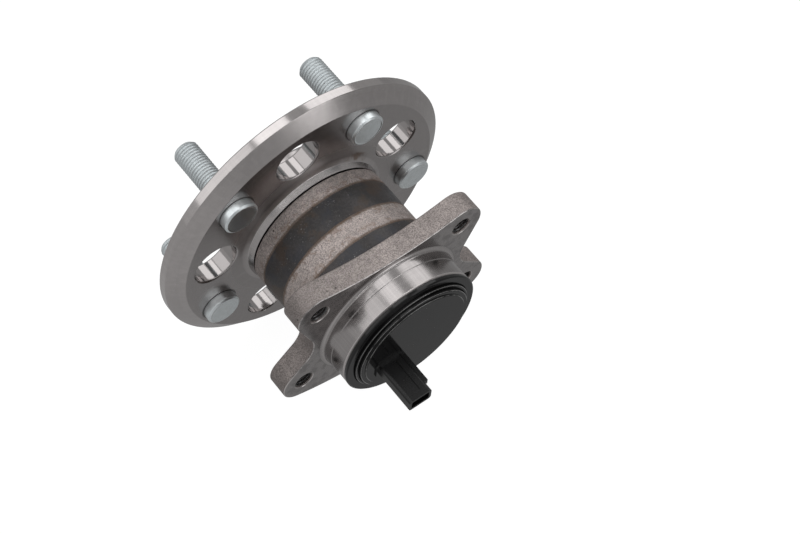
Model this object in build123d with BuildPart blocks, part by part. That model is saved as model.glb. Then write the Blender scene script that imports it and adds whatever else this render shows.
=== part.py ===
from build123d import *
from math import acos, atan2, degrees, sqrt
import os

os.makedirs("parts", exist_ok=True)

# Flanged wheel hub unit for a wheel that is not driven: a forged hub turns inside a fixed
# outer ring on two rows of balls, and a plastic cap with a speed sensor closes the inner end.
# Y is the spin axis and points outboard, Z is up, and the origin is the centre of the wheel
# mounting face. Every length is in millimetres. Radii build up from the ball circle, and
# places along Y build up from the mounting face.

# Wheel flange of the hub
flange_r = 75.3
flange_rim = 4.8
flange_bevel = 7.5
flange_floor_r = flange_r - flange_bevel
flange_t = 10.0
flange_edge = 0.6
wheel_pilot_r = 30.0
wheel_pilot_h = 9.0
wheel_pilot_edge = 1.2
hollow_mouth_r = 21.5
hollow_floor_r = 13.0
hollow_depth = 16.0

# Wheel studs, evenly spaced round the flange
stud_pitch_r = 57.15
stud_count = 5
stud_angle = 62.9
stud_thread_r = 6.0
stud_knurl_rise = 0.3
stud_knurl_r = stud_thread_r + stud_knurl_rise
stud_head_r = 8.5
stud_head_h = 4.5
stud_head_bevel = 0.9
stud_head_edge = 0.6
stud_reach = 29.5
stud_point = 1.2
stud_point_h = 1.6

# Balls, and the grooves that they run in
ball_r = 5.5
ball_count = 12
pitch_r = 24.5
race_clearance = 0.3
groove_r = ball_r + race_clearance
shoulder_drop = 2.0
shoulder_r = pitch_r - shoulder_drop
land_rise = 3.3
barrel_land_r = pitch_r + land_rise
ring_wall = 4.7
barrel_r = pitch_r + groove_r + ring_wall

# Places of the ball rows along the spin axis, with the seal collar and the barrel before them
collar_h = 4.4
collar_end = -flange_t - collar_h
collar_gap = 0.4
barrel_end = collar_end - collar_gap
row_reach = 15.2
row_outboard = barrel_end - row_reach
row_spacing = 25.0
row_inboard = row_outboard - row_spacing

# Cages
cage_clearance = 0.5
cage_inner_r = shoulder_r + cage_clearance
cage_t = 3.2
cage_outer_r = cage_inner_r + cage_t
cage_back = 7.0
cage_front = 2.5
pocket_clearance = 0.15

# Outer ring: barrel, carrier flange and carrier pilot
barrel_edge = 0.8
seal_wall = 4.5
seal_bore_r = barrel_r - seal_wall
seal_bore_gap = 0.5
seal_bore_end = row_outboard + cage_back + seal_bore_gap
carrier_reach = 12.0
carrier_face = row_inboard - carrier_reach
carrier_t = 11.0
carrier_root = 1.6
carrier_edge = 1.0
carrier_burr = 0.35
pilot_root = 2.0
pilot_relief = 0.1
pilot_r = barrel_r - pilot_relief
pilot_step = 0.25
pilot_step_r = pilot_r + pilot_step
pilot_step_len = 5.6
pilot_len = 14.6
pilot_end = carrier_face - pilot_len
pilot_edge = 0.7
pilot_wall = 3.9
cap_bore_r = pilot_r - pilot_wall
cap_bore_depth = 15.6
cap_bore_start = pilot_end + cap_bore_depth

# Carrier flange outline and its threaded holes, as X and Z
upper_hole_x = 37.9
upper_hole_z = 31.05
lower_hole_x = 44.9
lower_hole_z = -19.55
lug_r = 11.0
brow_dip = 4.35
brow_z = upper_hole_z + lug_r - brow_dip
chin_drop = 7.95
chin_z = lower_hole_z - lug_r - chin_drop
waist_x = 54.3
waist_z = 6.0
waist_r = 14.0
bolt_minor_r = 4.375
bolt_mouth = 0.725

# Seal collar of the hub, and the access holes beside it
collar_drop = 0.2
collar_r = barrel_r - collar_drop
collar_draft = 1.0
collar_root_r = collar_r + collar_draft
collar_fillet = 3.0
recess_clearance = 0.9
seal_recess_r = seal_bore_r + recess_clearance
seal_recess_depth = 1.9
seal_recess_y = collar_end + seal_recess_depth
access_r = 11.0
access_wall = 2.3
access_pitch_r = collar_root_r + collar_fillet + access_wall + access_r

# Seat of the inner ring on the hub, and the threaded stub
seat_wall = 3.7
seat_r = pitch_r - groove_r - seat_wall
inner_ring_half = 11.0
seat_start = row_inboard + inner_ring_half
inner_ring_end = row_inboard - inner_ring_half
spindle_thread_r = 11.0
spindle_len = 14.0
spindle_end = inner_ring_end - spindle_len
spindle_edge = 1.0

# Hub nut
nut_flats = 32.0
nut_h = 11.0
nut_washer_r = 17.5
nut_washer_h = 2.0
nut_lip_wall = 2.2
nut_lip_h = 1.6
nut_clearance = 0.1

# Outboard seal
case_wall = 1.0
case_inset = 0.6
case_start = barrel_end - case_inset
case_gap = 0.5
case_end = seal_bore_end + case_gap
slinger_wall = 0.7
slinger_inset = 0.9
slinger_y = seal_recess_y - slinger_inset
slinger_clearance = 0.5
slinger_flange_r = seal_bore_r - case_wall - slinger_clearance
slinger_tail_gap = 0.4
slinger_end = case_end + case_wall + slinger_tail_gap
web_clearance = 2.8
case_web_r = shoulder_r + slinger_wall + web_clearance
lip_gap = 0.35
lip_t = 0.55

# Encoder ring on the inner ring
encoder_wall = 0.8
encoder_cage_gap = 0.3
encoder_start = row_inboard - cage_back - encoder_cage_gap
encoder_proud = 1.3
encoder_face = inner_ring_end - encoder_proud
encoder_gap = 3.0
encoder_flange_r = cap_bore_r - encoder_gap
magnet_w = 4.4
magnet_inner_r = encoder_flange_r - magnet_w
magnet_t = 1.3
magnet_face = encoder_face - magnet_t

# Sensor cap
cap_lip = 0.1
cap_r = pilot_r + cap_lip
cap_rim = 2.1
cap_shelf_y = pilot_end - cap_rim
cap_edge = 0.6
cap_nick = 0.4
cap_shelf_w = 4.2
cap_step_r = cap_r - cap_shelf_w
cap_step_rise = 1.3
cap_step_y = cap_shelf_y - cap_step_rise
cap_step_w = 1.5
cap_ledge_r = cap_step_r - cap_step_w
cap_ledge_rise = 1.5
cap_ledge_y = cap_step_y - cap_ledge_rise
cap_ledge_w = 2.1
cap_face_r = cap_ledge_r - cap_ledge_w
cap_face_rise = 0.7
cap_face = cap_ledge_y - cap_face_rise
cap_wall = 2.3
cap_floor = cap_face + cap_wall
cap_round = 0.5
sleeve_wall = 1.0
sleeve_r = cap_bore_r - sleeve_wall
spigot_clearance = 0.05
spigot_r = cap_bore_r - spigot_clearance
spigot_wall = 2.2
spigot_inner_r = sleeve_r - spigot_wall
spigot_gap = 1.4
spigot_end = magnet_face - spigot_gap
ring_groove_depth = 1.8
ring_groove_r = cap_bore_r - ring_groove_depth
ring_groove_w = 1.9
ring_inset = 1.65
ring_groove_y = pilot_end + ring_inset
sleeve_gap = 1.0
sleeve_end = ring_groove_y + ring_groove_w / 2 + sleeve_gap

# Connector that stands on the cap, as an upright socket with two blades
plug_x = -14.2
plug_z = -6.4
plug_w = 12.0
plug_h = 7.6
plug_len = 22.2
plug_end = cap_face - plug_len
plug_wall = 1.3
plug_corner = 1.6
socket_depth = 16.4
plug_floor = plug_end + socket_depth
foot_side = 1.5
foot_top = 0.9
foot_h = 0.8
rib_w = 1.7
rib_h = 3.4
rib_setback = 5.0
rib_end = plug_end + rib_setback
channel_shift = 0.7
channel_w = 2.4
channel_depth = 0.5
channel_gap = 1.6
channel_start = cap_face - foot_h - channel_gap
channel_setback = 3.0
channel_end = plug_end + channel_setback
blade_w = 2.0
blade_t = 0.7
blade_gap = 4.6
blade_setback = 5.2
blade_end = plug_end + blade_setback
blade_bury = 1.1
blade_turn = cap_face + blade_bury

# Speed sensor that reads the encoder ring
sensor_angle = 204.6
sensor_radial = 5.0
sensor_tangential = 8.0
sensor_len = 9.4
sensor_gap = 1.0
sensor_face = magnet_face - sensor_gap
sensor_end = sensor_face - sensor_len
post_wall = 0.5
post_radial = sensor_radial + 2 * post_wall
post_tangential = sensor_tangential + 2 * post_wall
post_gap = 0.4
sensor_r = spigot_inner_r - post_radial / 2 - post_gap
sensor_proud = 1.4
post_face = sensor_face - sensor_proud
lead_offset = 2.0


def across(y):
    """Plane square to the spin axis at y, facing inboard, with X to its right and Z up."""
    return Plane.XZ.offset(-y)


def groove_run(wall_r):
    """Axial run of a ball groove from the ball centre to a wall of the given radius."""
    return sqrt(groove_r**2 - (wall_r - pitch_r) ** 2)


def groove_middle(wall_r, side):
    """Offset from the ball centre to the middle of the groove arc that ends at wall_r."""
    end = Vector(wall_r - pitch_r, side * groove_run(wall_r))
    start = Vector(groove_r if wall_r > pitch_r else -groove_r, 0)
    return (start + end).normalized() * groove_r


def groove(row, wall_r, side):
    """Arc of a ball groove, from under the ball to the wall on the given side of the row."""
    bottom_r = pitch_r + groove_r if wall_r > pitch_r else pitch_r - groove_r
    middle = groove_middle(wall_r, side)
    return ThreePointArc(
        (bottom_r, row),
        (pitch_r + middle.X, row + middle.Y),
        (wall_r, row + side * groove_run(wall_r)),
    )


# Forged hub: wheel flange, wheel pilot, seal collar, outboard groove and stub
with BuildPart() as hub_spindle:
    with BuildSketch(Plane.XY):
        with BuildLine():
            outer = Polyline(
                (0, -hollow_depth),
                (hollow_floor_r, -hollow_depth),
                (hollow_mouth_r, 0),
                (hollow_mouth_r, wheel_pilot_h),
                (wheel_pilot_r - wheel_pilot_edge, wheel_pilot_h),
                (wheel_pilot_r, wheel_pilot_h - wheel_pilot_edge),
                (wheel_pilot_r, 0),
                (flange_r - flange_edge, 0),
                (flange_r, -flange_edge),
                (flange_r, -flange_rim),
                (flange_floor_r, -flange_t),
                (collar_root_r + collar_fillet, -flange_t),
                (collar_root_r, -flange_t - collar_fillet / 2),
                (collar_r, collar_end),
                (seal_recess_r, collar_end),
                (seal_recess_r, seal_recess_y),
                (shoulder_r, seal_recess_y),
                (shoulder_r, row_outboard + groove_run(shoulder_r)),
            )
            race = groove(row_outboard, shoulder_r, 1)
            Polyline(
                race @ 0,
                (pitch_r - groove_r, seat_start),
                (seat_r, seat_start),
                (seat_r, inner_ring_end),
                (spindle_thread_r, inner_ring_end),
                (spindle_thread_r, spindle_end + spindle_edge),
                (spindle_thread_r - spindle_edge, spindle_end),
                (0, spindle_end),
                outer @ 0,
            )
        make_face()
    revolve(axis=Axis.Y)
    with BuildSketch(across(0)):
        with PolarLocations(stud_pitch_r, stud_count, start_angle=stud_angle):
            Circle(stud_knurl_r)
    extrude(amount=flange_t, mode=Mode.SUBTRACT)
    with BuildSketch(across(0)):
        with PolarLocations(access_pitch_r, stud_count, start_angle=stud_angle + 180 / stud_count):
            Circle(access_r)
    extrude(amount=flange_t, mode=Mode.SUBTRACT)
    access_rims = hub_spindle.edges(Select.LAST).filter_by(GeomType.CIRCLE)
    chamfer(access_rims, length=flange_edge)
hub_spindle.part.label = "hub_spindle"
export_step(hub_spindle.part, "parts/hub_spindle.step")


# Wheel studs, pressed into the flange from its inboard side
with BuildPart() as stud:
    with BuildSketch(Plane.XY):
        with BuildLine():
            Polyline(
                (0, -flange_t - stud_head_h),
                (stud_head_r - stud_head_bevel, -flange_t - stud_head_h),
                (stud_head_r, -flange_t - stud_head_h + stud_head_edge),
                (stud_head_r, -flange_t),
                (stud_knurl_r, -flange_t),
                (stud_knurl_r, 0),
                (stud_thread_r, 0),
                (stud_thread_r, stud_reach - stud_point_h),
                (stud_thread_r - stud_point, stud_reach),
                (0, stud_reach),
                close=True,
            )
        make_face()
    revolve(axis=Axis.Y)

stud_seats = PolarLocations(stud_pitch_r, stud_count, start_angle=stud_angle).local_locations
for number, seat in enumerate(stud_seats, start=1):
    with BuildPart() as wheel_stud:
        add(stud.part.moved(Location((seat.position.X, 0, seat.position.Y))))
    wheel_stud.part.label = f"wheel_stud_{number}"
    export_step(wheel_stud.part, f"parts/wheel_stud_{number}.step")


# Fixed outer ring: barrel with both outer grooves, carrier flange and carrier pilot
def bearing(start, end):
    """Angle in degrees of the line from one point to another."""
    return degrees(atan2(end.Y - start.Y, end.X - start.X))


def cross_turn(start, end, reach):
    """Angle between the line of centres and the radius to a crossed tangent of two circles."""
    return degrees(acos(reach / (end - start).length))


def carrier_half():
    """Right half of the carrier flange outline: brow, upper lug, waist, lower lug and chin."""
    upper = Vector(upper_hole_x, upper_hole_z)
    lower = Vector(lower_hole_x, lower_hole_z)
    waist = Vector(waist_x, waist_z)
    rise = brow_z - upper_hole_z
    drop = lower_hole_z - chin_z
    brow_r = (upper_hole_x**2 + rise**2 - lug_r**2) / (2 * (lug_r - rise))
    chin_r = (lower_hole_x**2 + drop**2 - lug_r**2) / (2 * (drop - lug_r))
    brow = Vector(0, brow_z + brow_r)
    chin = Vector(0, chin_z + chin_r)
    brow_turn = bearing(upper, brow)
    chin_turn = bearing(chin, lower)
    upper_turn = bearing(upper, waist) + cross_turn(upper, waist, lug_r + waist_r)
    lower_turn = bearing(lower, waist) - cross_turn(lower, waist, lug_r + waist_r)
    CenterArc(brow, brow_r, -90, brow_turn - 90)
    upper_lug = CenterArc(upper, lug_r, brow_turn, upper_turn - brow_turn)
    neck = CenterArc(waist, waist_r, upper_turn + 180, lower_turn - upper_turn)
    lower_lug = CenterArc(lower, lug_r, lower_turn, chin_turn - lower_turn)
    CenterArc(chin, chin_r, chin_turn, -90 - chin_turn)
    Line(upper_lug @ 1, neck @ 0)
    Line(neck @ 1, lower_lug @ 0)


carrier_holes = [
    (upper_hole_x, upper_hole_z),
    (-upper_hole_x, upper_hole_z),
    (-lower_hole_x, lower_hole_z),
    (lower_hole_x, lower_hole_z),
]
with BuildPart() as outer_ring:
    with BuildSketch(across(carrier_face)):
        with BuildLine():
            carrier_half()
            mirror(about=Plane.YZ)
        make_face()
    extrude(amount=-carrier_t)
    far_face = outer_ring.faces().sort_by(Axis.Y)[-1]
    fillet(far_face.edges(), radius=carrier_edge)
    near_face = outer_ring.faces().sort_by(Axis.Y)[0]
    chamfer(near_face.edges(), length=carrier_burr)
    far_y = carrier_face + carrier_t
    step_y = carrier_face - pilot_step_len
    fillet_part = 1 - sqrt(0.5)
    with BuildSketch(across(far_y)):
        Circle(barrel_r)
    extrude(amount=carrier_t, mode=Mode.SUBTRACT)
    with BuildSketch(Plane.XY):
        with BuildLine():
            skin = Polyline(
                (seal_bore_r, barrel_end),
                (barrel_r - barrel_edge, barrel_end),
                (barrel_r, barrel_end - barrel_edge),
                (barrel_r, far_y + carrier_root),
            )
            root = ThreePointArc(
                skin @ 1,
                (barrel_r + carrier_root * fillet_part, far_y + carrier_root * fillet_part),
                (barrel_r + carrier_root, far_y),
            )
            web = Line(root @ 1, (pilot_step_r + pilot_root, carrier_face))
            toe = ThreePointArc(
                web @ 1,
                (pilot_step_r + pilot_root * fillet_part, carrier_face - pilot_root * fillet_part),
                (pilot_step_r, carrier_face - pilot_root),
            )
            nose = Polyline(
                toe @ 1,
                (pilot_step_r, step_y),
                (pilot_r, step_y + pilot_r - pilot_step_r),
                (pilot_r, pilot_end + pilot_edge),
                (pilot_r - pilot_edge, pilot_end),
                (cap_bore_r, pilot_end),
                (cap_bore_r, cap_bore_start),
                (pitch_r + groove_r, cap_bore_start),
                (pitch_r + groove_r, row_inboard),
            )
            inboard_race = groove(row_inboard, barrel_land_r, 1)
            outboard_race = groove(row_outboard, barrel_land_r, -1)
            Line(inboard_race @ 1, outboard_race @ 1)
            Polyline(
                outboard_race @ 0,
                (pitch_r + groove_r, seal_bore_end),
                (seal_bore_r, seal_bore_end),
                (seal_bore_r, barrel_end),
            )
        make_face()
    revolve(axis=Axis.Y)
    with Locations(across(carrier_face)):
        with Locations(*carrier_holes):
            CounterSinkHole(bolt_minor_r, bolt_minor_r + bolt_mouth, depth=carrier_t, counter_sink_angle=90)
outer_ring.part.label = "outer_ring"
export_step(outer_ring.part, "parts/outer_ring.step")


# Inner ring, pressed on the stub, with the inboard groove
with BuildPart() as inner_ring:
    with BuildSketch(Plane.XY):
        with BuildLine():
            race = groove(row_inboard, shoulder_r, -1)
            Polyline(
                race @ 1,
                (shoulder_r, inner_ring_end),
                (seat_r, inner_ring_end),
                (seat_r, seat_start),
                (pitch_r - groove_r, seat_start),
                race @ 0,
            )
        make_face()
    revolve(axis=Axis.Y)
inner_ring.part.label = "inner_ring"
export_step(inner_ring.part, "parts/inner_ring.step")


# Hub nut with its washer face and staking lip
with BuildPart() as hub_nut:
    with BuildSketch(across(inner_ring_end)):
        Circle(nut_washer_r)
    extrude(amount=nut_washer_h)
    with BuildSketch(across(inner_ring_end)):
        RegularPolygon(nut_flats / 2, 6, major_radius=False)
    extrude(amount=nut_h)
    with BuildSketch(across(inner_ring_end - nut_h)):
        Circle(spindle_thread_r + nut_lip_wall)
    extrude(amount=nut_lip_h)
    with BuildSketch(across(inner_ring_end)):
        Circle(spindle_thread_r + nut_clearance)
    extrude(amount=nut_h + nut_lip_h, mode=Mode.SUBTRACT)
hub_nut.part.label = "hub_nut"
export_step(hub_nut.part, "parts/hub_nut.step")


# Balls and cages; the closed back of each cage faces away from the other row
for name, row, back in (("outboard", row_outboard, 1), ("inboard", row_inboard, -1)):
    with BuildPart() as balls:
        with Locations(across(row)):
            with PolarLocations(pitch_r, ball_count):
                Sphere(ball_r)
    balls.part.label = f"{name}_balls"
    export_step(balls.part, f"parts/{name}_balls.step")

    with BuildPart() as cage:
        with BuildSketch(across(row - back * cage_front)):
            Circle(cage_outer_r)
            Circle(cage_inner_r, mode=Mode.SUBTRACT)
        extrude(amount=-back * (cage_front + cage_back))
        with Locations(across(row)):
            with PolarLocations(pitch_r, ball_count):
                Cylinder(ball_r + pocket_clearance, ball_r * 2, rotation=(0, 90, 0), mode=Mode.SUBTRACT)
    cage.part.label = f"{name}_cage"
    export_step(cage.part, f"parts/{name}_cage.step")


# Outboard seal: slinger on the hub, case and rubber lips in the outer ring
with BuildPart() as seal_slinger:
    with BuildSketch(Plane.XY):
        with BuildLine():
            Polyline(
                (shoulder_r, slinger_y),
                (slinger_flange_r, slinger_y),
                (slinger_flange_r, slinger_y - slinger_wall),
                (shoulder_r + slinger_wall, slinger_y - slinger_wall),
                (shoulder_r + slinger_wall, slinger_end),
                (shoulder_r, slinger_end),
                close=True,
            )
        make_face()
    revolve(axis=Axis.Y)
seal_slinger.part.label = "seal_slinger"
export_step(seal_slinger.part, "parts/seal_slinger.step")

case_inner_r = seal_bore_r - case_wall
web_top = case_end + case_wall
with BuildPart() as seal_case:
    with BuildSketch(Plane.XY):
        with BuildLine():
            Polyline(
                (seal_bore_r, case_start),
                (seal_bore_r, case_end),
                (case_web_r, case_end),
                (case_web_r, web_top),
                (case_inner_r, web_top),
                (case_inner_r, case_start),
                close=True,
            )
        make_face()
    revolve(axis=Axis.Y)
seal_case.part.label = "seal_case"
export_step(seal_case.part, "parts/seal_case.step")

face_lip_y = slinger_y - slinger_wall - lip_gap
neck_lip_r = shoulder_r + slinger_wall + lip_gap
with BuildPart() as seal_lip:
    with BuildSketch(Plane.XY):
        with BuildLine():
            Polyline(
                (case_inner_r, web_top),
                (case_inner_r, web_top + case_wall),
                (case_web_r + 2 * lip_t, web_top + case_wall),
                (slinger_flange_r - lip_t, face_lip_y),
                (slinger_flange_r - 2 * lip_t, face_lip_y),
                (case_web_r - lip_t, web_top + case_wall + lip_t),
                (neck_lip_r + 2 * lip_t, web_top + 3 * lip_t),
                (neck_lip_r + lip_t, web_top + 6 * lip_t),
                (neck_lip_r, web_top + 5 * lip_t),
                (neck_lip_r + lip_t, web_top),
                (neck_lip_r + 2 * lip_t, case_end - lip_t),
                (case_web_r, case_end - lip_t),
                (case_web_r, web_top),
                close=True,
            )
        make_face()
    revolve(axis=Axis.Y)
seal_lip.part.label = "seal_lip"
export_step(seal_lip.part, "parts/seal_lip.step")


# Encoder: steel carrier on the inner ring with the magnet ring bonded to its face
with BuildPart() as encoder_carrier:
    with BuildSketch(Plane.XY):
        with BuildLine():
            Polyline(
                (shoulder_r, encoder_start),
                (shoulder_r + encoder_wall, encoder_start),
                (shoulder_r + encoder_wall, encoder_face + encoder_wall),
                (encoder_flange_r, encoder_face + encoder_wall),
                (encoder_flange_r, encoder_face),
                (shoulder_r, encoder_face),
                close=True,
            )
        make_face()
    revolve(axis=Axis.Y)
encoder_carrier.part.label = "encoder_carrier"
export_step(encoder_carrier.part, "parts/encoder_carrier.step")

with BuildPart() as encoder_magnet:
    with BuildSketch(across(encoder_face)):
        Circle(encoder_flange_r)
        Circle(magnet_inner_r, mode=Mode.SUBTRACT)
    extrude(amount=magnet_t)
encoder_magnet.part.label = "encoder_magnet"
export_step(encoder_magnet.part, "parts/encoder_magnet.step")


# Speed sensor element in its post, and the two blades that lead to it
with BuildPart() as sensor_element:
    with BuildSketch(across(sensor_face)):
        with PolarLocations(sensor_r, 1, start_angle=sensor_angle):
            Rectangle(sensor_radial, sensor_tangential)
    extrude(amount=sensor_face - sensor_end)
sensor_element.part.label = "sensor_element"
export_step(sensor_element.part, "parts/sensor_element.step")

sensor_out = Vector(1, 0).rotate(Axis.Z, sensor_angle)
sensor_side = sensor_out.rotate(Axis.Z, 90)
blades = []
for number, side in ((1, -1), (2, 1)):
    pin = Vector(plug_x + side * blade_gap / 2, plug_z)
    lead = sensor_out * sensor_r + sensor_side * (side * lead_offset)
    with BuildPart() as terminal:
        with BuildSketch(across(blade_turn)):
            with Locations((pin.X, pin.Y)):
                Rectangle(blade_w, blade_t)
        extrude(amount=blade_turn - blade_end)
        with BuildSketch(across(blade_turn)):
            with BuildLine():
                Line((pin.X, pin.Y), (lead.X, lead.Y))
            trace(line_width=blade_t * 2)
        extrude(amount=-blade_t)
        with BuildSketch(across(blade_turn)):
            with Locations((lead.X, lead.Y)):
                Circle(blade_t / 2)
        extrude(amount=blade_turn - sensor_end)
    terminal.part.label = f"terminal_{number}"
    export_step(terminal.part, f"parts/terminal_{number}.step")
    blades.append(terminal.part)


# Sleeve that holds the cap in the outer ring, and the ring seal behind it
with BuildPart() as cap_sleeve:
    with BuildSketch(across(spigot_end)):
        Circle(cap_bore_r)
        Circle(sleeve_r, mode=Mode.SUBTRACT)
    extrude(amount=spigot_end - sleeve_end)
cap_sleeve.part.label = "cap_sleeve"
export_step(cap_sleeve.part, "parts/cap_sleeve.step")

ring_section = (cap_bore_r - ring_groove_r) / 2
with BuildPart() as cap_ring_seal:
    with BuildSketch(Plane.XY):
        with Locations((ring_groove_r + ring_section, ring_groove_y)):
            Circle(ring_section)
    revolve(axis=Axis.Y)
cap_ring_seal.part.label = "cap_ring_seal"
export_step(cap_ring_seal.part, "parts/cap_ring_seal.step")


# Moulded cap with its stepped rim, sensor post and connector
groove_half = ring_groove_w / 2
with BuildPart() as sensor_cap:
    with BuildSketch(Plane.XY):
        with BuildLine():
            Polyline(
                (0, cap_face),
                (cap_face_r - cap_round, cap_face),
                (cap_face_r, cap_face + cap_round),
                (cap_face_r, cap_ledge_y),
                (cap_ledge_r - cap_round, cap_ledge_y),
                (cap_ledge_r, cap_ledge_y + cap_round),
                (cap_ledge_r, cap_step_y + cap_nick),
                (cap_ledge_r + cap_nick, cap_step_y),
                (cap_step_r - cap_round, cap_step_y),
                (cap_step_r, cap_step_y + cap_round),
                (cap_step_r, cap_shelf_y + cap_nick),
                (cap_step_r + cap_nick, cap_shelf_y),
                (cap_r - cap_edge, cap_shelf_y),
                (cap_r, cap_shelf_y + cap_round),
                (cap_r, pilot_end - cap_round),
                (cap_r - cap_round, pilot_end),
                (spigot_r, pilot_end),
                (spigot_r, ring_groove_y - groove_half),
                (ring_groove_r, ring_groove_y - groove_half),
                (ring_groove_r, ring_groove_y + groove_half),
                (spigot_r, ring_groove_y + groove_half),
                (spigot_r, sleeve_end),
                (sleeve_r, sleeve_end),
                (sleeve_r, spigot_end),
                (spigot_inner_r, spigot_end),
                (spigot_inner_r, cap_floor + cap_wall),
                (spigot_inner_r - cap_wall, cap_floor),
                (0, cap_floor),
                close=True,
            )
        make_face()
    revolve(axis=Axis.Y)
    with BuildSketch(across(post_face)):
        with PolarLocations(sensor_r, 1, start_angle=sensor_angle):
            Rectangle(post_radial, post_tangential)
    extrude(amount=post_face - cap_floor)
    add(sensor_element.part, mode=Mode.SUBTRACT)
    with BuildSketch(across(cap_face)):
        with Locations((plug_x, plug_z)):
            RectangleRounded(plug_w + 2 * foot_side, plug_h + 2 * foot_top, plug_corner)
    extrude(amount=foot_h)
    with BuildSketch(across(cap_face)):
        with Locations((plug_x, plug_z)):
            RectangleRounded(plug_w, plug_h, plug_corner)
    extrude(amount=cap_face - plug_end)
    with BuildSketch(across(cap_face)):
        with Locations((plug_x + plug_w / 2, plug_z + plug_h / 2 - rib_h / 2 - plug_corner / 2)):
            Rectangle(2 * rib_w, rib_h)
    extrude(amount=cap_face - rib_end)
    with BuildSketch(across(channel_start)):
        with Locations((plug_x + channel_shift, plug_z + plug_h / 2)):
            Rectangle(channel_w, 2 * channel_depth)
    extrude(amount=channel_start - channel_end, mode=Mode.SUBTRACT)
    with BuildSketch(across(plug_floor)):
        with Locations((plug_x, plug_z)):
            RectangleRounded(plug_w - 2 * plug_wall, plug_h - 2 * plug_wall, plug_corner / 2)
    extrude(amount=plug_floor - plug_end, mode=Mode.SUBTRACT)
    for blade in blades:
        add(blade, mode=Mode.SUBTRACT)
sensor_cap.part.label = "sensor_cap"
export_step(sensor_cap.part, "parts/sensor_cap.step")
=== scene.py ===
"""Looks for a flanged wheel hub unit: studs, threads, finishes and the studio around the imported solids."""

import math

import bpy
from bpy.props import FloatProperty, FloatVectorProperty, IntProperty, PointerProperty
from mathutils import Matrix, Vector


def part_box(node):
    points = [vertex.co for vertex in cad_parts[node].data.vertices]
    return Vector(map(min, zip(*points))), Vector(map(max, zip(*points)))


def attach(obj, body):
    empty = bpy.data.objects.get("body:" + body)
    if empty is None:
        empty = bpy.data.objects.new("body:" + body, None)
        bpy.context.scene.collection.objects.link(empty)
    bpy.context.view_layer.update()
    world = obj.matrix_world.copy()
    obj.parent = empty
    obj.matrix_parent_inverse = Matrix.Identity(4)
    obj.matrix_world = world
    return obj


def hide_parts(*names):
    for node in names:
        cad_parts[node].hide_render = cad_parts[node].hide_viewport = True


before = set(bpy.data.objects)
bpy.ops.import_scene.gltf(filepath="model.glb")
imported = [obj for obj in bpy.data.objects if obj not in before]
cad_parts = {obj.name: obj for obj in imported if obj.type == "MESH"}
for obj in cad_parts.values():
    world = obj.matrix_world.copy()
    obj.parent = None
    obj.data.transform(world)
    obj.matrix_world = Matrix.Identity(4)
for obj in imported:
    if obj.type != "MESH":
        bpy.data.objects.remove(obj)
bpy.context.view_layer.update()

bl_info = {
    "name": "Wheel Hub Unit",
    "version": (1, 0, 0),
    "blender": (4, 5, 0),
    "location": "View3D > Sidebar > Wheel Hub",
    "description": "Builds the studs, threads, finishes and studio of a flanged wheel hub unit",
    "category": "Object",
}

MM = 0.001
MERGE = 1e-6  # points of a mesh closer than this become one
SHARP_EDGE = 32  # degrees above which an edge of a forging counts as sharp
THREAD_EDGE = 35  # the same for threads

STUD_NODES = [f"wheel_stud_{number}" for number in range(1, 6)]
STUD_LOW, STUD_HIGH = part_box("wheel_stud_1")
STUD_MIDDLES = [sum(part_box(node), Vector()) / 2 for node in STUD_NODES]
HUB_LOW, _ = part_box("hub_spindle")

# Radii, axes given by X and Z, and places along the spin axis, all in millimetres

STUD_HEAD_R = (STUD_HIGH.x - STUD_LOW.x) / 2 / MM
STUD_AXES = [(middle.x / MM, middle.z / MM) for middle in STUD_MIDDLES]
FLANGE_R = 75.0
UNDER_FLANGE = -10.0
FLOOR_RADII = (38.0, 67.8)
COLLAR_RADII = (36.0, 44.0)
STAIN_RADII = (36.2, 40.0)
HOLLOW_R = 21.5
HOLLOW_END = -16.5
ACCESS_R = 11.0
ACCESS_PITCH = 52.1
ACCESS_TURNS = [math.radians(98.9 + 72 * number) for number in range(5)]
ACCESS_HOLES = [(ACCESS_PITCH * math.cos(turn), ACCESS_PITCH * math.sin(turn)) for turn in ACCESS_TURNS]

RING_MOUTH = -15.575
MOUTH_R = 34.35
BORE_R = 33.4
GAP_SPAN = (-17.0, -13.0)
GAP_RADII = (33.6, 35.4)
SCALE_SPANS = ((-36.8, -23.3), (-61.0, -48.5))
HALO_SPANS = ((-37.9, -22.3), (-62.0, -47.5))
STAIN_SPANS = ((-41.0, -19.5), (-64.0, -44.5))
NICK_SPANS = ((-71.62, -71.5), (-73.42, -73.3))
SEAT_FACE = -67.0
BARREL_R = 37.0
PILOT_R = 36.6
ROOT_RADII = (35.5, 37.2)
LIP_SPAN = (-81.8, -80.8)
DRILLED_R = 4.65
HOLE_RIM = (4.9, 5.3)
CARRIER_HOLES = [(37.9, 31.05), (-37.9, 31.05), (44.9, -19.55), (-44.9, -19.55)]
# Step edges of the cap, each a radius and a place along Y, that get painted highlight lines
CAP_EDGES = [(30.75, -84.95), (29.25, -86.45), (27.15, -87.15)]
CONNECTOR_START = -88.6

# The floor's glow in reflections holds a painted shadow beside the object and a painted pool of light on the
# left.
FLOOR_FADE = (0.12, 0.45)  # metres from the middle over which the floor's glow changes
LEFT_FADE = (-0.02, -0.14)  # the same along X, towards the left
# Pale of the real handling scratches on the hub and of the painted highlight lines on the cap's edges
PALE_SCRATCH_AND_GLINT = (0.75, 0.74, 0.73)


# Sizes and colours that a user may change

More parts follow.
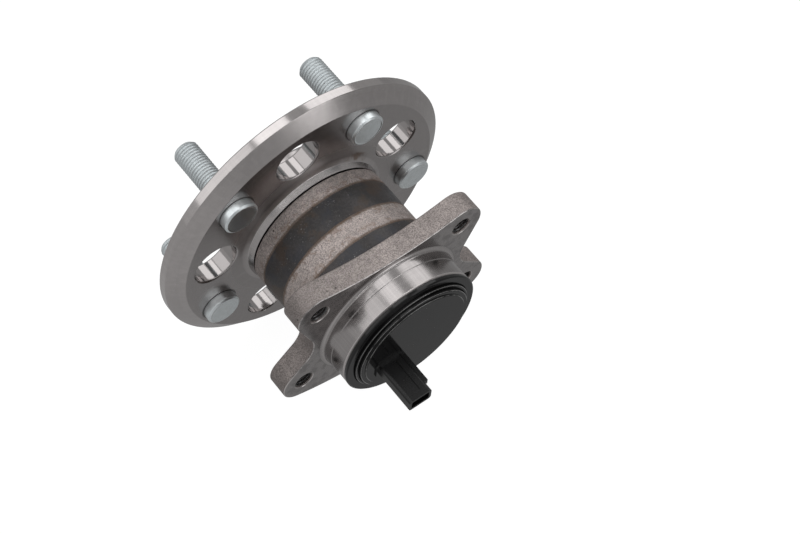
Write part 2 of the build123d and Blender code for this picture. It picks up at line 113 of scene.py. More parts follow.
class HubSizes(bpy.types.PropertyGroup):
    """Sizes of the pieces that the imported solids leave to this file."""

    thread_pitch: FloatProperty(
        name="Stud thread pitch", description="Rise of one turn of the wheel stud thread",
        default=1.5 * MM, unit="LENGTH", precision=5)
    thread_depth: FloatProperty(
        name="Stud thread depth", description="Depth of the thread groove under the crest",
        default=0.56 * MM, unit="LENGTH", precision=5)
    knurl_teeth: IntProperty(
        name="Knurl teeth", description="Teeth of the knurl that holds a stud in the flange", default=36)
    knurl_depth: FloatProperty(
        name="Knurl depth", description="Depth of the knurl teeth",
        default=0.35 * MM, unit="LENGTH", precision=5)
    head_dish: FloatProperty(
        name="Head dish", description="Depth of the shallow dish in a stud head",
        default=0.15 * MM, unit="LENGTH", precision=5)
    carrier_pitch: FloatProperty(
        name="Carrier thread pitch", description="Rise of one turn of the threads in the carrier flange",
        default=1.25 * MM, unit="LENGTH", precision=5)
    carrier_depth: FloatProperty(
        name="Carrier thread depth", description="Height of the thread turns above the drilled wall",
        default=0.55 * MM, unit="LENGTH", precision=5)
    machined_round: FloatProperty(
        name="Machined edge", description="Width of the broken edges on turned and milled faces",
        default=0.22 * MM, unit="LENGTH", precision=5)
    moulded_round: FloatProperty(
        name="Moulded edge", description="Width of the rounded edges on the plastic cap",
        default=0.2 * MM, unit="LENGTH", precision=5)


class HubColours(bpy.types.PropertyGroup):
    """Colours of the finishes."""

    turned_steel: FloatVectorProperty(
        name="Turned steel", description="Bare steel left by the lathe", subtype="COLOR",
        size=3, min=0.0, max=1.0, default=(0.46, 0.435, 0.43))
    forged_skin: FloatVectorProperty(
        name="Forged skin", description="Blasted skin of the forging", subtype="COLOR",
        size=3, min=0.0, max=1.0, default=(0.40, 0.352, 0.335))
    hardened_band: FloatVectorProperty(
        name="Hardened band", description="Dark scale over the induction-hardened grooves", subtype="COLOR",
        size=3, min=0.0, max=1.0, default=(0.0305, 0.027, 0.0275))
    tempered_edge: FloatVectorProperty(
        name="Tempered edge", description="Straw-brown edge of a hardened band", subtype="COLOR",
        size=3, min=0.0, max=1.0, default=(0.17, 0.095, 0.045))
    zinc: FloatVectorProperty(
        name="Zinc", description="Zinc plating of the wheel studs", subtype="COLOR",
        size=3, min=0.0, max=1.0, default=(0.76, 0.805, 0.82))
    cap_black: FloatVectorProperty(
        name="Cap black", description="Black nylon of the sensor cap", subtype="COLOR",
        size=3, min=0.0, max=1.0, default=(0.0065, 0.0065, 0.0068))
    cage_amber: FloatVectorProperty(
        name="Cage amber", description="Glass-filled nylon of the ball cages", subtype="COLOR",
        size=3, min=0.0, max=1.0, default=(0.47, 0.37, 0.21))
    rubber_black: FloatVectorProperty(
        name="Rubber black", description="Rubber of the seals and the magnet ring", subtype="COLOR",
        size=3, min=0.0, max=1.0, default=(0.022, 0.021, 0.021))
    brass: FloatVectorProperty(
        name="Brass", description="Tinned brass of the terminals", subtype="COLOR",
        size=3, min=0.0, max=1.0, default=(0.66, 0.55, 0.30))


class HubStudio(bpy.types.PropertyGroup):
    """Camera, floor and lights."""

    camera_place: FloatVectorProperty(
        name="Camera place", description="Where the camera stands", subtype="XYZ", unit="LENGTH",
        size=3, default=(-0.282305, -0.372759, 0.710909))
    camera_aim: FloatVectorProperty(
        name="Camera aim", description="Point at the middle of the frame", subtype="XYZ", unit="LENGTH",
        size=3, default=(0.022044, -0.048339, -0.012212))
    camera_roll: FloatProperty(
        name="Camera roll", description="Turn of the camera about its own view line",
        default=math.radians(6.62), unit="ROTATION")
    camera_lens: FloatProperty(
        name="Camera lens", description="Focal length in millimetres on a 36 mm sensor", default=84.36)
    floor_shade: FloatProperty(
        name="Floor shade", description="Brightness of the pale floor as the camera sees it", default=1.33)
    floor_echo: FloatProperty(
        name="Floor echo", description="Paleness of the floor in the reflections on the object",
        default=0.50)
    floor_near: FloatProperty(
        name="Floor near", description="Brightness of the floor beside the object in its reflections",
        default=0.32)
    floor_far: FloatProperty(
        name="Floor far", description="Brightness of the floor further off in the reflections", default=0.34)
    floor_left: FloatProperty(
        name="Floor left", description="Brightness of the floor on the left in the reflections",
        default=0.50)
    left_glow: FloatProperty(
        name="Left softbox", description="Brightness of the broad softbox on the upper left", default=0.74)
    centre_glow: FloatProperty(
        name="Centre softbox", description="Brightness of the narrow softbox overhead", default=1.35)
    right_glow: FloatProperty(
        name="Right softbox", description="Brightness of the softbox on the upper right", default=1.25)
    front_glow: FloatProperty(
        name="Front softbox", description="Brightness of the small softbox on the camera's side",
        default=1.1)
    edge_glow: FloatProperty(
        name="Edge strip", description="Brightness of the thin strip that lights edges", default=3.2)
    room_left: FloatProperty(
        name="Room left", description="Brightness of the room on the left", default=0.58)
    room_right: FloatProperty(
        name="Room right", description="Brightness of the room on the right", default=0.42)
    room_fill: FloatProperty(
        name="Room fill", description="Brightness of the room as it lights dull surfaces", default=0.18)


# Modelling helpers

def clear_selection():
    """Leave edit mode and deselect every object."""
    if bpy.context.mode != "OBJECT":
        bpy.ops.object.mode_set(mode="OBJECT")
    bpy.ops.object.select_all(action="DESELECT")


def activate(piece):
    """Make one piece the only selected and active object."""
    clear_selection()
    piece.select_set(True)
    bpy.context.view_layer.objects.active = piece


def edit_all(piece):
    """Open a piece in edit mode with all of its mesh selected."""
    activate(piece)
    bpy.ops.object.mode_set(mode="EDIT")
    bpy.ops.mesh.select_mode(type="VERT")
    bpy.ops.mesh.select_all(action="SELECT")


def close_up():
    """Merge the doubles of the mesh in edit mode, turn its faces outwards and leave edit mode."""
    bpy.ops.mesh.select_all(action="SELECT")
    bpy.ops.mesh.remove_doubles(threshold=MERGE)
    bpy.ops.mesh.normals_make_consistent(inside=False)
    bpy.ops.object.mode_set(mode="OBJECT")


def select_open_edges():
    """Select the edges of the mesh in edit mode that bound a single face."""
    bpy.ops.mesh.select_all(action="DESELECT")
    bpy.ops.mesh.select_non_manifold(extend=False, use_wire=False, use_boundary=True,
                                     use_multi_face=False, use_non_contiguous=False, use_verts=False)


def draw_profile(name, points):
    """Start a piece as a chain of edges drawn through points, each a radius and a place along Y."""
    clear_selection()
    bpy.ops.mesh.primitive_plane_add(size=MM)
    piece = bpy.context.object
    piece.name = name
    edit_all(piece)
    bpy.ops.mesh.merge(type="CENTER")
    radius, place = points[0]
    bpy.ops.transform.translate(value=(radius, place, 0))
    for (radius, place), (next_radius, next_place) in zip(points, points[1:]):
        step = (next_radius - radius, next_place - place, 0)
        bpy.ops.mesh.extrude_region_move(TRANSFORM_OT_translate={"value": step})
    return piece


def spin_piece(name, points, steps):
    """Turn a profile round the Y axis into a closed piece."""
    piece = draw_profile(name, points)
    bpy.ops.mesh.select_all(action="SELECT")
    bpy.ops.mesh.spin(steps=steps, angle=math.tau, center=(0, 0, 0), axis=(0, 1, 0))
    close_up()
    return piece


def apply_modifier(piece, kind, **settings):
    """Add a modifier with its settings and apply it."""
    activate(piece)
    modifier = piece.modifiers.new(kind.title(), kind)
    for key, value in settings.items():
        setattr(modifier, key, value)
    bpy.ops.object.modifier_apply(modifier=modifier.name)


def wind_thread(name, crest, root, pitch, start, end, steps):
    """Wind one ridge of a thread round the Y axis, cut it square at both ends and leave it in edit mode."""
    flat = pitch / 8
    flank = (pitch - 2 * flat) / 2
    low = start - 2 * pitch
    points = [(root, low), (root, low + flat), (crest, low + flat + flank), (crest, low + 2 * flat + flank),
              (root, low + pitch)]
    piece = draw_profile(name, points)
    bpy.ops.object.mode_set(mode="OBJECT")
    turns = math.ceil((end - start) / pitch) + 4
    apply_modifier(piece, "SCREW", axis="Y", screw_offset=pitch, iterations=turns, steps=steps,
                   render_steps=steps, use_merge_vertices=False, use_smooth_shade=False)
    edit_all(piece)
    bpy.ops.mesh.remove_doubles(threshold=MERGE)
    for place, at_end in ((start, False), (end, True)):
        bpy.ops.mesh.select_all(action="SELECT")
        bpy.ops.mesh.bisect(plane_co=(0, place, 0), plane_no=(0, 1, 0), use_fill=False,
                            clear_outer=at_end, clear_inner=not at_end)
    return piece


def shade_by_angle(piece, angle):
    """Shade a piece smooth except at edges sharper than some degrees."""
    activate(piece)
    bpy.ops.object.shade_smooth_by_angle(angle=math.radians(angle))


def smooth_faces(piece, angle):
    """Shade a piece smooth between its sharp edges, with its large faces kept flat."""
    shade_by_angle(piece, angle)
    apply_modifier(piece, "WEIGHTED_NORMAL", mode="FACE_AREA", weight=100, keep_sharp=True)


def soften(piece, width, angle, segments=2):
    """Break the sharp edges of a piece and shade it smooth between them."""
    apply_modifier(piece, "BEVEL", width=width, segments=segments, limit_method="ANGLE",
                   angle_limit=math.radians(angle), use_clamp_overlap=True, harden_normals=False)
    smooth_faces(piece, angle)


def within(length, span):
    """Whether a length in metres lies inside a span in millimetres."""
    low, high = span
    return low * MM < length < high * MM


def soften_but_mouth(piece, width):
    """Break the sharp edges of a piece except at the seal gap, and shade it smooth between them."""
    edit_all(piece)
    bpy.ops.mesh.select_mode(type="EDGE")
    bpy.ops.mesh.select_all(action="DESELECT")
    bpy.ops.mesh.edges_select_sharp(sharpness=math.radians(SHARP_EDGE))
    bpy.ops.object.mode_set(mode="OBJECT")
    for edge in piece.data.edges:
        if edge.select:
            ends = [piece.data.vertices[index].co for index in edge.vertices]
            edge.select = not all(within(end.y, GAP_SPAN) and within(math.hypot(end.x, end.z), GAP_RADII)
                                  for end in ends)
    bpy.ops.object.mode_set(mode="EDIT")
    bpy.ops.mesh.bevel(offset=width, segments=2, clamp_overlap=True)
    bpy.ops.object.mode_set(mode="OBJECT")
    smooth_faces(piece, SHARP_EDGE)


def copy_node(node, name):
    """Copy a node's mesh as a piece, with its loose triangles joined up."""
    piece = bpy.data.objects.new(name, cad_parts[node].data.copy())
    bpy.context.scene.collection.objects.link(piece)
    edit_all(piece)
    bpy.ops.mesh.remove_doubles(threshold=2 * MERGE)
    bpy.ops.mesh.customdata_custom_splitnormals_clear()
    bpy.ops.mesh.select_all(action="SELECT")
    bpy.ops.mesh.dissolve_limited(angle_limit=math.radians(0.4))
    bpy.ops.object.mode_set(mode="OBJECT")
    return piece


def place_copy(master, name, x, z, turn):
    """Copy a piece made round the Y axis to another axis, turned by some degrees, and apply its place."""
    piece = bpy.data.objects.new(name, master.data.copy())
    bpy.context.scene.collection.objects.link(piece)
    piece.matrix_world = Matrix.Translation((x, 0, z)) @ Matrix.Rotation(math.radians(turn), 4, "Y")
    activate(piece)
    bpy.ops.object.transform_apply(location=True, rotation=True, scale=True)
    return piece


def dress(piece, material, slot, body, *nodes):
    """Give a piece its material, its body and the nodes that it stands for; the slot argument is not used.
    """
    piece.data.materials.clear()
    piece.data.materials.append(material)
    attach(piece, body)
    if nodes:
        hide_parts(*nodes)


def finish_nodes(material, *nodes):
    """Give some CAD nodes a material in each of their slots."""
    for node in nodes:
        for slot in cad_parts[node].material_slots:
            slot.material = material


# Material helpers

def put(socket, value):
    """Link a socket to an input socket, or set a number or colour there."""
    if isinstance(value, bpy.types.NodeSocket):
        socket.id_data.links.new(value, socket)
    elif socket.type == "RGBA":
        socket.default_value = (*value[:3], 1.0)
    else:
        socket.default_value = value


def node_beside(kind, *values):
    """Add a node to the tree that holds the first socket among some values."""
    tree = next(value.id_data for value in values if isinstance(value, bpy.types.NodeSocket))
    return tree.nodes.new(kind)


def add_node(kind, **values):
    """Add a node beside the sockets that feed it, with its inputs set by name."""
    made = node_beside(kind, *values.values())
    for key, value in values.items():
        put(made.inputs[key], value)
    return made


def maths(operation, first, second=0.0, clamp=False):
    """Add a math node and give its result."""
    made = node_beside("ShaderNodeMath", first, second)
    made.operation = operation
    made.use_clamp = clamp
    put(made.inputs[0], first)
    put(made.inputs[1], second)
    return made.outputs[0]


def fold(operation, values):
    """Join values one after another with math nodes."""
    result = values[0]
    for value in values[1:]:
        result = maths(operation, result, value)
    return result


def times(*values):
    """Product of some values."""
    return fold("MULTIPLY", values)


def plus(*values):
    """Sum of some values."""
    return fold("ADD", values)


def most(*values):
    """Largest of some values."""
    return fold("MAXIMUM", values)


def less(first, second, clamp=False):
    """First value less the second."""
    return maths("SUBTRACT", first, second, clamp)


def noise(vector, scale, detail=2.0, roughness=0.5):
    """Noise value at a scale per metre."""
    made = add_node("ShaderNodeTexNoise", Vector=vector, Scale=scale, Detail=detail, Roughness=roughness)
    return made.outputs["Fac"]


def cells(vector, scale):
    """Distance to the nearest of points scattered at a scale per metre."""
    return add_node("ShaderNodeTexVoronoi", Vector=vector, Scale=scale).outputs["Distance"]


def joined(x, y, z=0.0):
    """Point made from three values."""
    return add_node("ShaderNodeCombineXYZ", X=x, Y=y, Z=z).outputs[0]


def ramp(value, low, high):
    """Smooth step of a value from 0 at low to 1 at high."""
    made = node_beside("ShaderNodeMapRange", value)
    made.interpolation_type = "SMOOTHSTEP"
    made.clamp = True
    for name, setting in (("Value", value), ("From Min", low), ("From Max", high)):
        put(made.inputs[name], setting)
    return made.outputs["Result"]


def above(value, edge, soft):
    """Mask that is 1 where a value is above an edge, with a soft step."""
    return ramp(value, edge - soft, edge + soft)


def below(value, edge, soft):
    """Mask that is 1 where a value is below an edge, with a soft step."""
    return ramp(value, edge + soft, edge - soft)


def window(value, low, high, soft):
    """Mask that is 1 while a value lies between low and high, with soft ends."""
    return less(above(value, low, soft), above(value, high, soft), clamp=True)


def windows(value, spans, soft):
    """Mask that is 1 while a value lies in any of some spans, with soft ends."""
    return most(*(window(value, low, high, soft) for low, high in spans))


def mix(data_type, sockets, output, values):
    """Add a mix node for one type of data and give its result."""
    made = node_beside("ShaderNodeMix", *values)
    made.data_type = data_type
    for index, value in zip(sockets, values):
        put(made.inputs[index], value)
    return made.outputs[output]


def blend_colours(factor, first, second):
    """Mix two colours and give the result."""
    return mix("RGBA", (0, 6, 7), 2, (factor, first, second))


def blend_values(factor, first, second):
    """Mix two values and give the result."""
    return mix("FLOAT", (0, 2, 3), 0, (factor, first, second))


def coats(colour, *layers):
    """Lay colours over a colour, each by its own factor."""
    for factor, over in layers:
        colour = blend_colours(factor, colour, over)
    return colour


def tint(colour, share):
    """A colour made darker or paler, with no channel above 1."""
    return [min(channel * share, 1.0) for channel in colour[:3]]


def nearest(first, second, spots):
    """Distance from two values to the nearest of some pairs."""
    place = joined(first, second)
    gaps = []
    for spot in spots:
        gap = node_beside("ShaderNodeVectorMath", place)
        gap.operation = "DISTANCE"
        put(gap.inputs[0], place)
        put(gap.inputs[1], (*spot, 0))
        gaps.append(gap.outputs["Value"])
    return fold("MINIMUM", gaps)


def mix_shaders(factor, first, second):
    """Mix the shaders of two nodes and give the node that mixes them."""
    made = first.id_data.nodes.new("ShaderNodeMixShader")
    for socket, value in zip(made.inputs, (factor, first.outputs[0], second.outputs[0])):
        put(socket, value)
    return made


def new_group(name, outputs, **numbers):
    """Start a node group that takes a point and some numbers and gives the named values."""
    tree = bpy.data.node_groups.new(name, "ShaderNodeTree")
    tree.interface.new_socket("Vector", in_out="INPUT", socket_type="NodeSocketVector")
    for label, default in numbers.items():
        socket = tree.interface.new_socket(label, in_out="INPUT", socket_type="NodeSocketFloat")
        socket.default_value = default
    for label in outputs:
        tree.interface.new_socket(label, in_out="OUTPUT", socket_type="NodeSocketFloat")
    return tree, tree.nodes.new("NodeGroupInput").outputs, tree.nodes.new("NodeGroupOutput").inputs


def place_group():
    """Radius from the spin axis, place along it, and direction round it."""
    tree, given, result = new_group("Lathe place", ("Radius", "Along", "East", "North"))
    x, y, z = add_node("ShaderNodeSeparateXYZ", Vector=given["Vector"]).outputs
    radius = most(maths("SQRT", plus(times(x, x), times(z, z))), 1e-5)
    put(result["Radius"], radius)
    put(result["Along"], y)
    put(result["East"], maths("DIVIDE", x, radius))
    put(result["North"], maths("DIVIDE", z, radius))
    return tree


def turned_group(place_tree):
    """Rings left by a cutting tool round the spin axis, fine and coarse, and chatter across them."""
    tree, given, result = new_group("Turned marks", ("Fine", "Coarse", "Chatter"), Spacing=2600.0, Waver=0.7)
    made = tree.nodes.new("ShaderNodeGroup")
    made.node_tree = place_tree
    put(made.inputs["Vector"], given["Vector"])
    place = made.outputs
    across = times(place["Radius"], given["Spacing"])
    along = times(place["Along"], given["Spacing"])
    east = times(place["East"], given["Waver"])
    north = times(place["North"], given["Waver"])
    for label, share in (("Fine", 1.0), ("Coarse", 0.16)):
        point = joined(times(across, share), times(along, share), east)
        rings = tree.nodes.new("ShaderNodeTexNoise")
        rings.noise_dimensions = "4D"
        for name, value in (("Vector", point), ("W", north), ("Scale", 1.0), ("Detail", 2.0)):
            put(rings.inputs[name], value)
        put(result[label], rings.outputs["Fac"])
    point = joined(place["East"], place["North"], times(across, 0.004))
    put(result["Chatter"], noise(point, 26.0, 4.0, 0.62))
    return tree


def forged_group():
    """Blasted skin of a forging: fine grain, mottling, pale specks, dark pepper and small pits."""
    outputs = ("Grain", "Mottle", "Speckle", "Pepper", "Pit")
    tree, given, result = new_group("Forged skin", outputs, Scale=1.0)
    point = tree.nodes.new("ShaderNodeVectorMath")
    point.operation = "SCALE"
    put(point.inputs[0], given["Vector"])
    put(point.inputs["Scale"], given["Scale"])
    vector = point.outputs[0]
    shot = times(cells(vector, 1700.0), 0.55)
    sand = times(noise(vector, 2000.0, 4.0, 0.65), 0.55)
    lumps = times(noise(vector, 420.0, 3.0, 0.6), 0.45)
    put(result["Grain"], plus(shot, sand, lumps))
    put(result["Mottle"], blend_values(0.45, noise(vector, 95.0, 4.0, 0.62), noise(vector, 900.0, 3.0, 0.7)))
    put(result["Speckle"], ramp(noise(vector, 1900.0, 3.0, 0.75), 0.36, 0.64))
    put(result["Pepper"], ramp(noise(vector, 1500.0, 2.0, 0.6), 0.40, 0.31))
    put(result["Pit"], ramp(cells(vector, 150.0), 0.10, 0.05))
    return tree


def handling_group():
    """Traces of handling: soft smudges, fine scratches and specks of dust."""
    tree, given, result = new_group("Handling", ("Smudge", "Scratch", "Dust"))
    vector = given["Vector"]
    stretch = tree.nodes.new("ShaderNodeMapping")
    stretch.inputs["Rotation"].default_value = (0.5, 0.7, 0.3)
    stretch.inputs["Scale"].default_value = (60.0, 2400.0, 240.0)
    put(stretch.inputs["Vector"], vector)
    put(result["Smudge"], noise(vector, 46.0, 4.0, 0.58))
    put(result["Scratch"], ramp(noise(stretch.outputs[0], 1.0), 0.66, 0.74))
    put(result["Dust"], times(ramp(cells(vector, 420.0), 0.11, 0.05), ramp(noise(vector, 70.0), 0.52, 0.66)))
    return tree


class Finish:
    """A material under construction: its shader, its point on the piece and the shared groups."""

    groups = {}

    def __init__(self, name, metallic=0.0, ior=1.5):
        if not Finish.groups:
            place = place_group()
            Finish.groups = {"place": place, "turned": turned_group(place), "forged": forged_group(),
                             "handling": handling_group()}
        self.material = bpy.data.materials.new(name)
        self.material.use_nodes = True
        self.tree = self.material.node_tree
        self.shader = self.tree.nodes["Principled BSDF"]
        self.shader.inputs["IOR"].default_value = ior
        self.shader.inputs["Metallic"].default_value = metallic
        self.point = self.tree.nodes.new("ShaderNodeTexCoord").outputs["Object"]

    def group(self, label, **values):
        """Place a shared group and give its outputs."""
        made = self.tree.nodes.new("ShaderNodeGroup")
        made.node_tree = Finish.groups[label]
        put(made.inputs["Vector"], self.point)
        for key, value in values.items():
            put(made.inputs[key], value)
        return made.outputs

    def place(self):
        """Radius and place along the axis in millimetres, and the direction round the axis."""
        made = self.group("place")
        return times(made["Radius"], 1 / MM), times(made["Along"], 1 / MM), made["East"], made["North"]

    def away_from(self, axes):
        """Millimetres to the nearest of some axes that run along Y, each given by X and Z."""
        x, _, z = add_node("ShaderNodeSeparateXYZ", Vector=self.point).outputs
        return nearest(times(x, 1 / MM), times(z, 1 / MM), axes)

    def feed(self, socket, value):
        """Link a value or colour to the shader."""
        put(self.shader.inputs[socket], value)

    def bump(self, height, distance, strength=1.0):
        """Feed a bump of the given depth in metres to the shader's normal."""
        made = add_node("ShaderNodeBump", Strength=strength, Distance=distance, Height=height)
        self.feed("Normal", made.outputs["Normal"])


def turned_steel():
    """Hub steel: lathe-turned all over, with polished access holes and a forged hollow."""
    colours = bpy.context.scene.hub_colours
    steel = colours.turned_steel
    finish = Finish("Hub turned steel", metallic=1.0)
    radius, along, east, north = finish.place()
    marks = finish.group("turned", Spacing=2400.0, Waver=0.9)
    skin = finish.group("forged", Scale=0.9)
    handling = finish.group("handling")
    hollow = times(below(radius, HOLLOW_R, 0.1), above(along, HOLLOW_END, 0.1))
    floor = times(window(radius, *FLOOR_RADII, 0.3), below(along, UNDER_FLANGE + 0.4, 0.3))
    collar = times(window(radius, *COLLAR_RADII, 0.8), below(along, UNDER_FLANGE + 0.2, 0.2))
    wall = below(finish.away_from(ACCESS_HOLES), ACCESS_R + 0.2, 0.1)
    # Painted shadow: a dark ring on the flange floor round the foot of each stud head stands in for the
    # shade where the head meets the floor. The ring is also made rougher.
    stud_foot_shadow = times(floor, below(finish.away_from(STUD_AXES), STUD_HEAD_R + 0.75, 0.35))
    toward_stain = plus(times(east, 0.61), times(north, 0.79))
    stain = times(ramp(toward_stain, 0.970, 0.992), ramp(noise(finish.point, 260.0), 0.36, 0.68),
                  window(radius, *STAIN_RADII, 0.6), collar, 0.55)
    light = coats(
        blend_colours(marks["Coarse"], tint(steel, 0.93), tint(steel, 1.10)),
        (times(marks["Fine"], 0.18), tint(steel, 0.66)),
        (times(ramp(marks["Chatter"], 0.42, 0.66), 0.12), tint(steel, 1.45)),
        (wall, tint(steel, 0.82)),
        # painted contact shadow round the stud heads
        (stud_foot_shadow, tint(steel, 0.16)),
        (times(floor, 0.36), tint(steel, 0.62)),
        (stain, colours.tempered_edge))
    dark = blend_colours(skin["Mottle"], tint(colours.forged_skin, 0.45), tint(colours.forged_skin, 0.95))
    scratches = times(handling["Scratch"], 0.10)
    finish.feed("Base Color", coats(light, (hollow, dark), (scratches, PALE_SCRATCH_AND_GLINT)))
    rough = plus(blend_values(marks["Coarse"], 0.19, 0.25), times(handling["Smudge"], 0.05))
    rough = blend_values(wall, rough, 0.10)
    rough = blend_values(above(radius, FLANGE_R, 0.1), rough, 0.12)
    rough = blend_values(most(collar, stud_foot_shadow), rough, 0.34)
    rough = plus(rough, times(stain, 0.4))
    finish.feed("Roughness", blend_values(hollow, rough, 0.62))
    height = plus(times(marks["Fine"], 0.22), times(marks["Coarse"], 0.35))
    finish.bump(blend_values(hollow, height, skin["Grain"]), 0.06 * MM, 0.6)
    return finish.material


def barrel_colour(finish, skin, dust, scale, halo, stain, lug_tone_and_shade):
    """Colour of the blasted forging, with its dark scale, straw-brown edges, stains, and darker lug walls:
    partly a darker tone, partly painted shade that deepens where they face left.
    """
    colours = bpy.context.scene.hub_colours
    forged = colours.forged_skin
    brown = colours.tempered_edge
    black = colours.hardened_band
    clouds = noise(finish.point, 75.0, 4.0, 0.62)
    sparks = ramp(noise(finish.point, 1300.0, 3.0, 0.7), 0.63, 0.70)
    flecks = maths("ADD", sparks, times(dust, 0.8), clamp=True)
    patches = ramp(noise(finish.point, 110.0, 3.0, 0.6), 0.50, 0.62)
    band = coats(
        blend_colours(ramp(skin["Mottle"], 0.40, 0.68), black, tint(black, 2.2)),
        (times(ramp(clouds, 0.50, 0.62), 0.5), tint(brown, 0.45)),
        (times(ramp(clouds, 0.46, 0.34), 0.6), (0.025, 0.028, 0.040)),
        (times(flecks, patches, 0.85), (0.46, 0.45, 0.44)))
    return coats(
        blend_colours(ramp(skin["Mottle"], 0.36, 0.66), tint(forged, 1.12), tint(forged, 1.66)),
        (times(skin["Speckle"], 0.50), tint(forged, 2.1)),
        (times(ramp(skin["Grain"], 0.92, 0.62), 0.60), tint(forged, 0.38)),
        (times(skin["Pepper"], 0.6), tint(forged, 0.22)),
        # darker lug walls: partly a darker tone, partly painted shade
        (lug_tone_and_shade, tint(forged, 0.15)),
        (stain, tint(brown, 1.25)),
        (times(halo, 0.75), tint(brown, 0.55)),
        (scale, band),
        (times(skin["Pit"], 0.8), (0.03, 0.025, 0.022)))


def ring_steel():
    """Outer ring: blasted forging with two hardened bands, and turned or milled seats."""
    steel = bpy.context.scene.hub_colours.turned_steel
    finish = Finish("Outer ring steel")
    radius, along, east, north = finish.place()
    marks = finish.group("turned", Spacing=1700.0, Waver=0.9)
    skin = finish.group("forged")
    handling = finish.group("handling")
    seat = below(along, SEAT_FACE + 0.375, 0.075)
    mouth = times(above(along, RING_MOUTH, 0.125), below(radius, MOUTH_R, 0.15))
    machined = most(seat, mouth, below(radius, BORE_R, 0.1))
    pilot = times(seat, below(radius, PILOT_R, 0.4))

    drift = times(less(noise(finish.point, 60.0, 4.0, 0.6), 0.5), 1.5)
    wavy = plus(along, drift)
    barrel = below(radius, BARREL_R, 0.2)
    scale = times(windows(wavy, SCALE_SPANS, 0.3), barrel)
    halo = times(windows(wavy, HALO_SPANS, 0.6), barrel)
    rust = ramp(noise(finish.point, 260.0, 4.0, 0.7), 0.47, 0.60)
    stain = times(windows(wavy, STAIN_SPANS, 1.6), rust, 0.40, barrel)
    # Lug walls outside the barrel are darkened: partly a darker tone of their forged skin, partly painted
    # shade that is stronger on the walls facing left.
    lug_tone_and_shade = times(above(radius, BARREL_R + 0.75, 0.75), blend_values(ramp(east, -0.55, -0.80), 0.30, 0.52))
    forged = barrel_colour(finish, skin, handling["Dust"], scale, halo, stain, lug_tone_and_shade)

    hole = finish.away_from(CARRIER_HOLES)
    # Painted highlights: patchy pale lines on the broken edge of the carrier face, and pale bands on the
    # pilot's root fillet, on its end chamfer and on the chamfers round the tapped holes.
    edge = window(along, SEAT_FACE + 0.01, SEAT_FACE + 0.38, 0.05)
    arris = times(edge, above(radius, BARREL_R + 0.45, 0.15))
    patchy_glint = ramp(noise(finish.point, 210.0, 3.0, 0.6), 0.36, 0.56)
    root = times(window(radius, *ROOT_RADII, 0.2), seat)
    lip = times(window(along, *LIP_SPAN, 0.05), pilot)
    rim = times(window(hole, *HOLE_RIM, 0.15), seat)
    painted_glints = most(times(rim, 0.5), times(arris, patchy_glint), times(root, 0.5), lip)
    patchy = ramp(noise(joined(east, north), 2.6, 3.0, 0.6), 0.46, 0.60)
    nicks = times(windows(along, NICK_SPANS, 0.05), patchy, 0.55)
    turned = coats(
        blend_colours(marks["Coarse"], tint(steel, 0.69), tint(steel, 0.85)),
        (times(marks["Fine"], 0.22), tint(steel, 0.50)),
        (times(ramp(marks["Chatter"], 0.44, 0.62), 0.07), tint(steel, 1.5)),
        (times(less(seat, pilot, clamp=True), 0.75), tint(steel, 0.54)),
        # painted shade: the walls of the tapped holes are darkened to near black
        (below(hole, DRILLED_R, 0.1), tint(steel, 0.10)),
        # painted highlights on edges and chamfers
        (times(painted_glints, 0.75), tint(steel, 1.5)),
        (nicks, tint(steel, 0.35)))
    finish.feed("Base Color", blend_colours(machined, forged, turned))
    finish.feed("Metallic", blend_values(machined, blend_values(scale, 0.52, 0.12), 1.0))
    rough = blend_values(scale, plus(times(skin["Grain"], 0.14), 0.43), 0.40)
    smooth = blend_values(marks["Coarse"], 0.15, 0.21)
    smooth = plus(smooth, times(handling["Smudge"], 0.05), times(painted_glints, 0.12))
    finish.feed("Roughness", blend_values(machined, rough, smooth))
    grain = less(skin["Grain"], times(skin["Pit"], 1.5))
    grain = blend_values(scale, grain, times(grain, 0.55))
    cuts = plus(times(marks["Fine"], 0.07), times(marks["Coarse"], 0.14))
    finish.bump(blend_values(machined, grain, cuts), 0.20 * MM, 0.8)
    return finish.material


def zinc_plate():
    """Bluish zinc plating with a faint bloom, smoother on the heads than on the threads."""
    zinc = bpy.context.scene.hub_colours.zinc
    finish = Finish("Zinc plate", metallic=1.0)
    handling = finish.group("handling")
    bloom = noise(finish.point, 420.0, 4.0, 0.6)
    crystals = noise(finish.point, 2600.0, 3.0, 0.6)
    _, along, _, _ = finish.place()
    head = below(along, UNDER_FLANGE + 0.3, 0.1)
    head_side = above(finish.away_from(STUD_AXES), STUD_HEAD_R - 0.85, 0.1)
    plated = coats(
        blend_colours(ramp(bloom, 0.30, 0.70), tint(zinc, 0.95), tint(zinc, 1.05)),
        (times(handling["Dust"], 0.25), (0.30, 0.31, 0.30)))
    finish.feed("Base Color", blend_colours(head, blend_colours(0.20, plated, (0.3, 0.32, 0.33)), plated))
    rough = blend_values(head, blend_values(bloom, 0.46, 0.58), blend_values(head_side, 0.23, 0.33))
    finish.feed("Roughness", plus(rough, times(handling["Smudge"], 0.06)))
    finish.bump(times(crystals, less(1.0, head)), 0.004 * MM, 0.3)
    return finish.material


